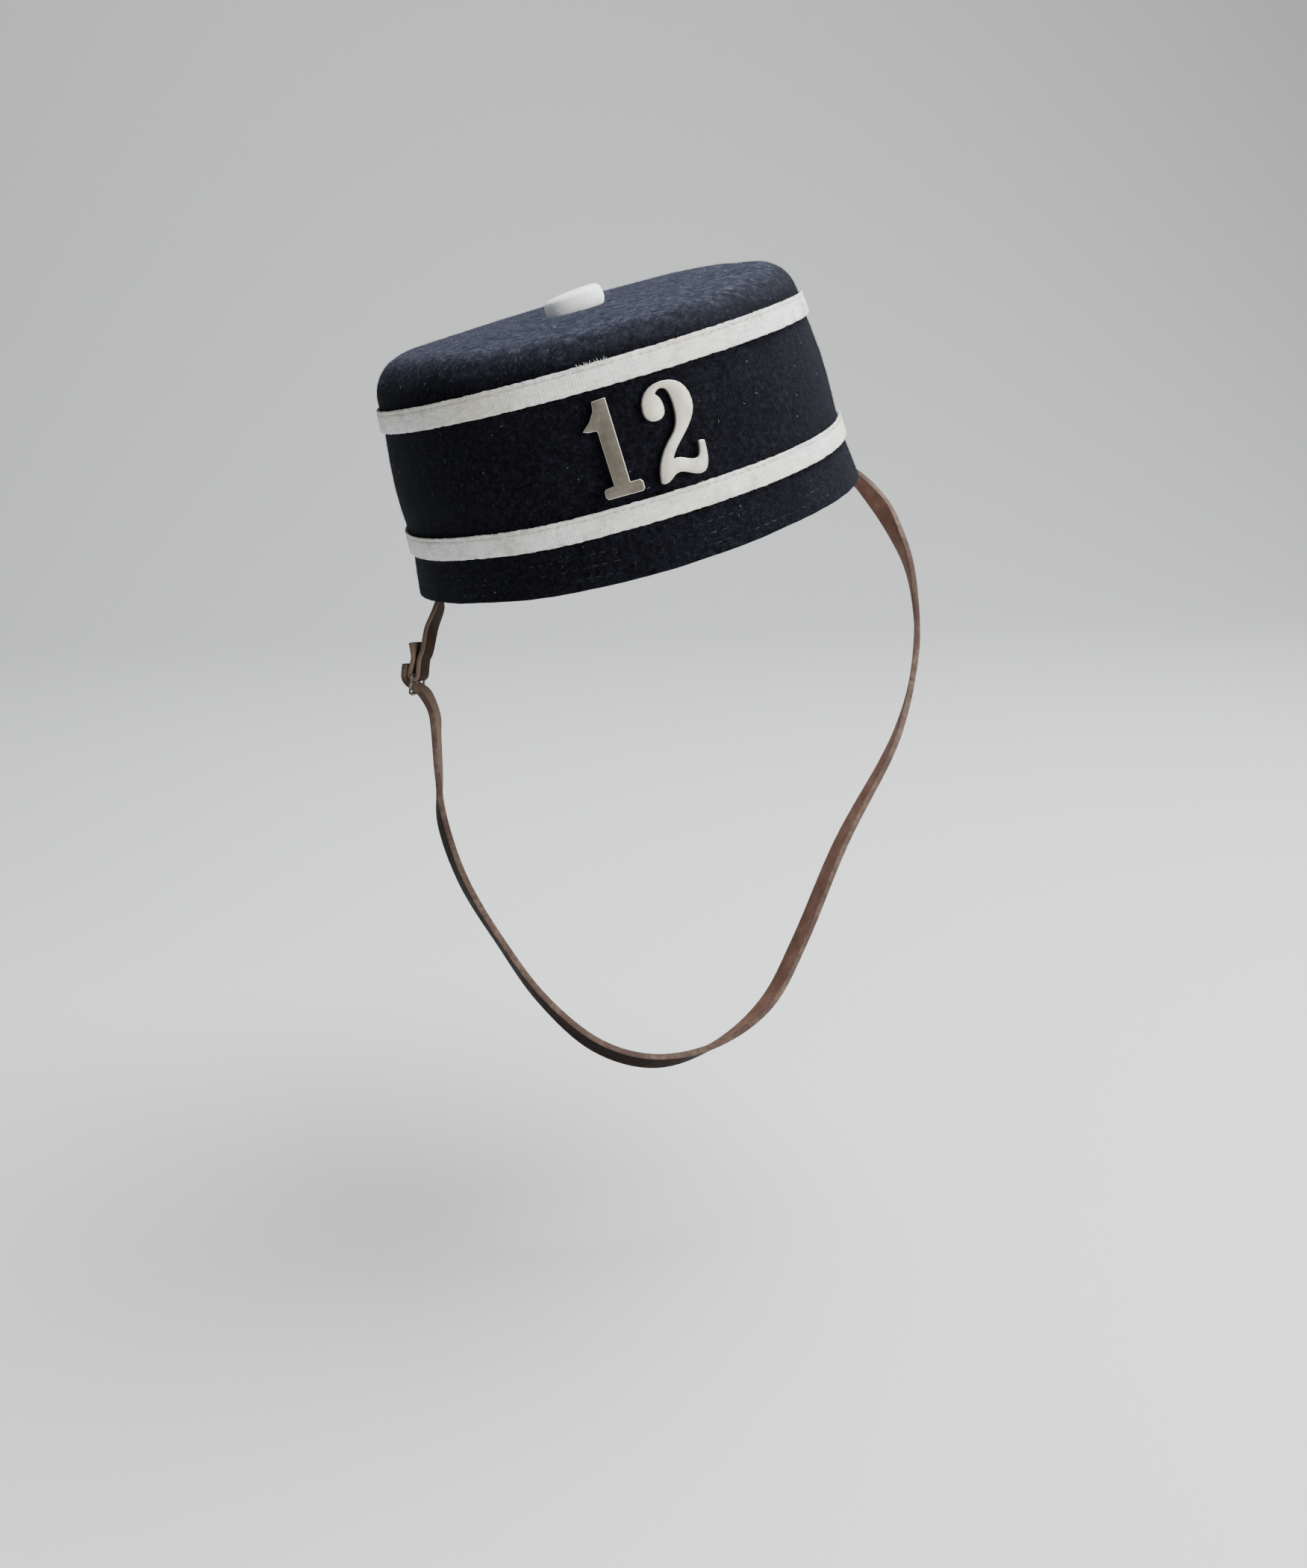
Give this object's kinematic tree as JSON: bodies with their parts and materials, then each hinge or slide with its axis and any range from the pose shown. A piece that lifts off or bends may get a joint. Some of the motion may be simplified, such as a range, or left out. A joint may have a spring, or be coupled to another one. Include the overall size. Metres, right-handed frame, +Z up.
{
  "type": "pillbox hat",
  "caption": "Felt pillbox hat with two white tapes, metal numerals, a covered top button and a buckled leather chin strap, held as worn at a lean.",
  "frame": {"origin": "middle of the rim plane, where the head goes in and the hat sits", "axes": "+Z is up, along the wearer's head; the front of the hat faces -Y; the wearer's left is +X; the hat's own axis leans 15.4 degrees from +Z towards -X, as it is worn, and the chin strap hangs plumb"},
  "size_m": [0.184, 0.1835, 0.2576],
  "materials": {
    "felt": "napped navy wool felt, matt",
    "tape": "off-white woven tape, matt, slightly soiled",
    "dull_nickel": "worn, dull",
    "pale_nickel": "worn, satin",
    "button_cloth": "white ribbed cloth",
    "strap_leather": "reddish brown flesh side, black grain side, tan cut edges",
    "dark_metal": "blackened wire"
  },
  "bodies": {
    "root": {"felt_crown": "felt", "lower_tape": "tape", "upper_tape": "tape", "numeral_one": "dull_nickel", "numeral_two": "pale_nickel", "top_button": "button_cloth", "chin_strap": "strap_leather", "buckle_tab": "strap_leather", "buckle_frame": "dark_metal", "buckle_prong": "dark_metal"}
  },
  "joints": []
}
